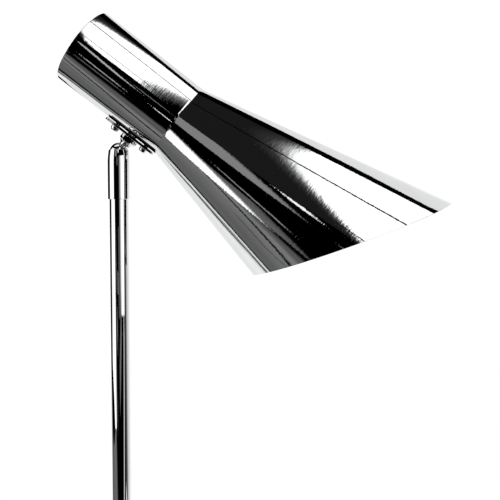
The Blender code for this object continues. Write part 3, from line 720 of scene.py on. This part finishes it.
def lampholder():
    low, high = extent("holder_bracket", STUD)
    sheet = 1.5
    side = [(low.x, low.z, 2.6), (high.x, low.z, 0.5), (high.x, low.z + sheet, 0.5),
            (low.x + sheet, low.z + sheet, 1.1), (low.x + sheet, high.z, 0.5), (low.x, high.z, 0.5)]
    bm = plate(rounded(side), low.y, high.y)
    for vert in bm.verts:
        x, z, y = vert.co
        vert.co = (x, y, z)
    rod_drill = moved(lathe([(0, -5), (5.3, -5), (5.3, 5), (0, 5)], 64), on_axis(low.x), STUD)
    strip = make("holder_bracket_fine", bm, STUD, drills(STUD) + [rod_drill])
    fit(bevelled(strip, 0.2, 2), ZINC, "head", ["holder_bracket"])

    axis = on_axis()
    low, high = extent("holder_rod", axis)
    fit(make("holder_rod_fine", lathe(lambda a: [(3.6, low.z + 0.3), (3.9, low.z), (4.5, low.z)]
                                      + thread(high.x, 0.5, 1.0, low.z + 0.4, high.z - 0.4, a)
                                      + [(4.5, high.z), (3.6, high.z)], 64), axis),
        ZINC, "head", ["holder_rod"])
    nut("holder_nut", axis, 14, 5.15, "head")

    low, high = extent("lampholder", axis)
    back, front, radius = low.z, high.z, high.x
    ribs = 30

    def holder_profile(angle):
        wave = (0.5 - 0.5 * math.cos(ribs * angle)) ** 0.6
        grip = radius - 0.45 * wave
        return rounded([
            (5.3, back), (9, back, 0.4), (11, back + 2, 1.6), (12, -22, 0.8), (radius, -20.5, 0.8),
            (radius, -18.5), (grip, -17.8), (grip, -8.6), (radius, -8), (radius, front, 1),
            (8.1, front, 0.5), (7.8, front - 2), (7.8, -32.5), (0, -32.5), (0, -39), (5.3, -39)])
    port = moved(lathe([(0, 20), (2.3, 20), (2.3, 39), (0, 39)], 40),
                 STUD @ Matrix.Translation((-35.5 * MM, 0, 0)), axis)
    fit(make("lampholder_fine", lathe(holder_profile, 240), axis, [port]),
        HOLDER, "head", ["lampholder"])

    low, high = extent("bulb_cap", axis)
    radius = high.x
    fit(make("bulb_cap_fine", lathe(lambda a: [
        (0, low.z), (1.6, low.z + 0.1), (2.4, low.z + 0.6), (2.7, low.z + 1.6),
        (6.1, low.z + 3.5)] + thread(radius, 0.75, 2.82, low.z + 4, high.z - 2.5, a)
        + [(radius, high.z - 1.5), (radius, high.z), (0, high.z)], 96), axis),
        NICKEL, "head", ["bulb_cap"])

    low, high = extent("bulb_glass", axis)
    back, globe = low.z, high.x
    centre = high.z - globe
    joins = math.radians(128)
    meets = (globe * math.sin(joins), centre + globe * math.cos(joins))
    neck = rounded([(0, back), (9, back, 1.3), (9.4, back + 3, 3), (11.6, back + 12, 12), meets],
                   closed=False)
    glass = neck[:-1] + arc((0, centre), globe, 90 - math.degrees(joins), 89, 40)
    fit(make("bulb_glass_fine", lathe(glass + [(0, centre + globe)], 128), axis),
        OPAL, "head", ["bulb_glass"])

    route = [(0, 0, -2.6), (0, 0, 6), (0, 0, 16), (0, 0, 23), (-1.6, 0, 26.6), (-6, 0, 28.8),
             (-14, 0, 29.4), (-24, 0, 29.2), (-31, 0, 30), (-34.6, 0, 32.8), (-35.5, 0, 38.6)]
    wire("head_lead_fine", smooth_route(route, 8), 1.9, STUD, SLEEVE, "head", ["head_lead"])


# Hidden pieces keep their CAD shape ---------------------------------------------------------------------

INSIDE = {
    "base_weight": (IRON, "iron"), "base_washer": (ZINC, "zinc"), "base_nut": (ZINC, "zinc"),
    "base_rod": (ZINC, "zinc"), "foot_bush": (BRASS, "brass"), "lower_coupler": (BRASS, "brass"),
    "upper_coupler": (BRASS, "brass"), "pole_top_bush": (BRASS, "brass"),
    "ball_seat": (ACETAL, "acetal"), "seat_spring": (STEEL, "spring_steel"),
    "holder_contact": (BRASS, "brass"), "pole_lead": (SLEEVE, "lead_sleeve"),
}


def inside():
    for node, (material, slot) in INSIDE.items():
        obj = frame["nodes"][node]
        obj.material_slots[0].material = material


# Studio ----------------------------------------------------------------------------------------------

def linear(tone):
    """The light of a tone from 0, black, to 1, white, as a picture shows it."""
    return tone / 12.92 if tone <= 0.04045 else ((tone + 0.055) / 1.055) ** 2.4


def towards(azimuth, elevation):
    """A direction: azimuth 0 is towards the front, and it grows towards the lamp's mouth side."""
    a, e = math.radians(azimuth), math.radians(elevation)
    return Vector((math.sin(a) * math.cos(e), -math.cos(a) * math.cos(e), math.sin(e)))


def card(name, *rows):
    """A card that only mirror-like surfaces see, through rows of points placed from the centre of
    the ball. A row is a tone and its points, and the tone changes evenly from row to row."""
    bm = bmesh.new()
    glow = bm.verts.layers.float.new("light")
    lines = []
    for tone, points in rows:
        lines.append([bm.verts.new(BALL + Vector(point)) for point in points])
        for vert in lines[-1]:
            vert[glow] = linear(tone) / SHEEN
    for here, there in zip(lines, lines[1:]):
        for i in range(len(here) - 1):
            bm.faces.new((here[i], here[i + 1], there[i + 1], there[i]))
    mesh = bpy.data.meshes.new(name)
    bm.to_mesh(mesh)
    bm.free()
    material = bpy.data.materials.new(name)
    material.use_nodes = True
    tree = material.node_tree
    tree.nodes.clear()
    light = tree.nodes.new("ShaderNodeAttribute")
    light.attribute_name = "light"
    lamp = tree.nodes.new("ShaderNodeEmission")
    tree.links.new(light.outputs["Fac"], lamp.inputs["Strength"])
    tree.links.new(lamp.outputs[0], tree.nodes.new("ShaderNodeOutputMaterial").inputs[0])
    material.cycles.emission_sampling = "NONE"
    mesh.materials.append(material)
    obj = bpy.data.objects.new(name, mesh)
    bpy.context.scene.collection.objects.link(obj)
    obj.visible_camera = obj.visible_diffuse = obj.visible_shadow = False
    obj.visible_transmission = obj.visible_volume_scatter = False


def upright_card(name, low, high, distance, *columns):
    """An upright card through columns of an azimuth and a tone, between two elevations. A column
    can have a low end of its own."""
    rows = []
    for azimuth, tone, *own_low in columns:
        foot, top = (towards(azimuth, 0) + UP * math.tan(math.radians(e))
                     for e in ((own_low or [low])[0], high))
        rows.append((tone, (foot * distance, top * distance)))
    card(name, *rows)


def beam(name, start, end, width, distance, tone):
    """A thin straight card between two directions, given as azimuth and elevation."""
    a, b = (towards(*point) * distance for point in (start, end))
    side = (b - a).cross(a).normalized() * distance * math.tan(math.radians(width / 2))
    card(name, (tone, (a - side, a + side)), (tone, (b - side, b + side)))


def contour(across, along, height):
    """A line on the floor: how far back it runs at each distance across."""
    return [Vector((x, y, height)) for x, y in zip(across, along)]


UP = Vector((0, 0, 1))
WHITE = 1.1
SKY = 1.1  # strength of the even light all round, which the chrome does not see
FLOOR_RADIUS = 6
SHEEN = 0.86  # how much of a card's light the chrome gives back, so that tones are as seen in it


def softboxes():
    """The row of boxes overhead, with dark seams between them and a dim ceiling behind."""
    height = 2.5
    across, along = towards(77, 0), towards(-13, 0)

    def overhead(name, start, end, *rows, rise=1.0):
        card(name, *((tone, [(across * reach + along * length + UP * rise) * height
                             for length in (start, end)]) for reach, tone in rows))
    seam = 0.022
    for index, (start, end) in enumerate(((-0.49, 0.28), (0.28, 1.76), (1.8, 2.95))):
        overhead(f"softbox_{index}", start + seam * (index > 0), end - seam * (index < 2),
                 (0.31, 0.1), (0.36, 0.2), (0.385, 0.55), (0.405, WHITE), (0.66, WHITE), (0.69, 0.6),
                 (0.73, 0.3), (0.78, 0.12))
    for index, (start, end) in enumerate(((-0.47, 0.26), (0.3, 2.28))):
        overhead(f"ceiling_{index}", start, end, (-1.2, 0.095), (0.8, 0.1), rise=1.04)


def sides():
    upright_card("left_box", -18.2, 35, 3.95, (-103, 0.5, -13), (-97, 0.8, -13.5), (-92, WHITE, -14),
                 (-80, WHITE, -15.5), (-66, WHITE), (-51, WHITE), (-49.5, 0.75), (-47.5, 0.3))
    upright_card("left_glow", -17, -7.5, 5.5, (-53, 0.4), (-44, 0.36), (-41, 0.3), (-39.5, 0.03))
    upright_card("right_box", -8.5, 14, 8, (4, 0.3), (10, 0.5), (18, 0.75), (24, 0.98), (40, WHITE),
                 (56, WHITE))
    beam("right_streak", (49.5, -8.5), (33, -25), 6, 6, 0.8)
    beam("right_low_streak", (19, -8.6), (-4, -14.6), 4, 6, 0.42)
    upright_card("right_gap", -40, 14, 6, (58, 0.24), (75, 0.24))
    upright_card("right_wall", -40, 14, 6, (76, 0.3), (80, 0.6), (88, 0.72), (96, 0.8))
    upright_card("far_right_wall", -40, 35, 5.5, (96, 0.8), (112, 0.88), (127, 0.93), (140, 0.98))
    upright_card("front_panel", -9, -2, 5.5, (-10, 0.3), (10, 0.3))
    upright_card("side_patch", 12.5, 30, 5, (-36, 0.35), (-33, 0.5), (-20, 0.5), (-18.5, 0.35))
    upright_card("small_lamp", 20.6, 23.4, 5, (-14.3, 1), (-11, 1))
    upright_card("low_lamp", -7.4, -5.6, 5, (-16.9, 1), (-15.3, 1))
    beam("stand", (-13, 3), (-13, 11.5), 2.6, 5, 0.68)
    beam("arm", (-8.8, 7.3), (-5.2, 7.3), 1.4, 5, 0.45)
    beam("high_beam", (-28.6, -9), (-25.8, -11.4), 2.4, 5, 0.62)
    beam("low_beam", (-36.6, -15.9), (-32, -17.3), 2.4, 5, 0.33)
    beam("left_beam", (-40.5, -1.9), (-35, -6.9), 1.8, 5, 0.5)


def floor_and_backdrop():
    floor = -BALL.z
    top = floor + 0.004
    across = (-3.6, -2.9, -2.3, -1.95, -1.65, -1.45, -1.1)
    crack = (-2.0, -1.6, -1.28, -1.07, -0.83, -0.65, -0.38)
    gap = (2.1, 1.6, 1.08, 0.78, 0.66, 0.5, 0.3)
    width = (0.24, 0.2, 0.165, 0.13, 0.1, 0.07, 0.06)
    sweep = (1.5, 1.2, 1.0, 0.85, 0.8, 0.65, 0.5)

    def row(*parts):
        return contour(across, [sum(steps) for steps in zip(*parts)], top)

    def times(line, factor):
        return [factor * step for step in line]

    def by(step):
        return [step] * len(across)
    card("floor_left",
         (0.03, row((-2.9, -2.55, -2.45, -2.35, -2.25, -2.15, -2.1))),
         (0.36, row((-2.4, -2.15, -2.0, -1.85, -1.75, -1.65, -1.55))),
         (0.3, row(crack, by(-0.62))), (0.48, row(crack, by(-0.25))), (0.45, row(crack, by(-0.09))),
         (0.08, row(crack, by(-0.05))), (0.08, row(crack, by(0.05))), (0.46, row(crack, by(0.08))),
         (0.43, row(crack, by(0.35))), (0.36, row(gap, times(width, -6))),
         (0.38, row(gap, times(width, -3))), (0.25, row(gap, times(width, -1.2))),
         (0.03, row(gap, times(width, -0.9))), (0.03, row(gap, width)),
         (0.6, row(gap, times(width, 1.5))), (0.6, row(gap, times(width, 2.6))),
         (0.24, row(gap, times(width, 3))), (0.26, row(gap, times(width, 4.2))),
         (0.8, row(gap, times(width, 5))), (0.93, row(gap, sweep)), (0.92, row(gap, by(3))))
    for name, start, end in (("near", (-2.15, -0.66), (-1.78, -0.55)),
                             ("far", (-1.78, -0.55), (-1.58, -0.72))):
        card(f"floor_line_{name}", *((0.25, [Vector((x, y + step, top + 0.002))
                                             for x, y in (start, end)]) for step in (0, 0.06)))
    card("floor_under",
         (0.93, contour((-1.1, -0.3, 0.8, 2.6), (0.62, 0.1, -0.6, -1.6), top)),
         (0.96, contour((-1.1, -0.3, 0.8, 2.6), (2.5,) * 4, top)))

    back = 1.7
    columns = ((-0.5, (0.1, 0.25, 0.4, 0.55, 0.7)), (0.36, (0.2, 0.4, 0.7, 0.9, 1.56)),
               (0.69, (0.2, 0.4, 0.7, 0.9, 1.86)), (1.14, (0.2, 0.4, 0.7, 0.9, 2.2)),
               (1.51, (0.2, 0.4, 0.7, 0.9, 2.48)), (2.4, (0.2, 0.4, 0.7, 0.9, 3.2)))
    card("backdrop", (0.97, [Vector((x, back, floor)) for x, _ in columns]),
         *((tone, [Vector((x, back, heights[index])) for x, heights in columns])
           for index, tone in enumerate((0.99, 0.96, 0.91, 0.88, 0.88))))
    wing = ((-1.95, -1.2), (-0.98, -0.31), (-0.5, 0.1))
    card("backdrop_wing", (0.9, [Vector((x, back, floor)) for x, _ in wing]),
         (0.89, [Vector((x, back, z)) for x, z in wing]))


def studio():
    softboxes()
    sides()
    floor_and_backdrop()

    world = bpy.data.worlds.new("studio")
    bpy.context.scene.world = world
    world.use_nodes = True
    sky = world.node_tree.nodes["Background"]
    sky.inputs["Color"].default_value = (1, 1, 1, 1)
    sky.inputs["Strength"].default_value = SKY
    world.cycles_visibility.glossy = False

    bm = bmesh.new()
    bmesh.ops.create_circle(bm, cap_ends=True, radius=FLOOR_RADIUS, segments=96)
    mesh = bpy.data.meshes.new("floor")
    bm.to_mesh(mesh)
    bm.free()
    ground = bpy.data.objects.new("floor", mesh)
    bpy.context.scene.collection.objects.link(ground)
    paper = Surface("floor_paper", 0.9)
    tone = paper.noise(paper.spot(turned=False), (14,) * 3, detail=4)
    paper.paint(paper.blend(tone, (0.965, 0.965, 0.96), (0.95, 0.95, 0.945)))
    mesh.materials.append(paper.material)
    ground.visible_glossy = False

    bpy.context.scene.view_settings.view_transform = "Standard"


base()
pole()
swivel()
shade()
lampholder()
inside()
studio()

bpy.context.view_layer.update()
